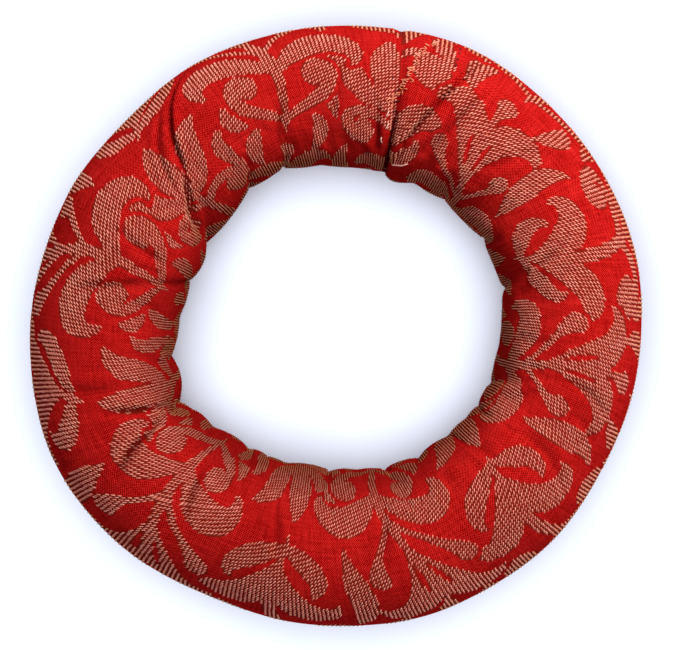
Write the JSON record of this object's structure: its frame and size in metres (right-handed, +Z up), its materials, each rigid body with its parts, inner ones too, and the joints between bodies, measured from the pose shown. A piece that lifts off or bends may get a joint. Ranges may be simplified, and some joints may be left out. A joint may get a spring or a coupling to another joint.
{
  "type": "singing bowl cushion",
  "caption": "Ring cushion for a singing bowl: a stuffed brocade tube, gathered at its hole, closed by a hand-sewn join and flat underneath.",
  "frame": {"origin": "on the surface that the cushion lies on, under the middle of its outline", "axes": "+Z up through the hole; the hand-sewn join lies about 75 degrees anticlockwise from +X, seen from above"},
  "size_m": [0.1494, 0.1464, 0.0348],
  "materials": {
    "red_brocade": "red plain-weave ground with raised copper-gold leaf scrolls, low sheen",
    "gold_thread": "copper-gold float yarn of the leaf scrolls and of the frayed ends at the join",
    "sewing_thread": "dark red sewing thread of the hand-sewn join"
  },
  "bodies": {
    "root": {"ring_cushion": "red_brocade"}
  },
  "joints": []
}
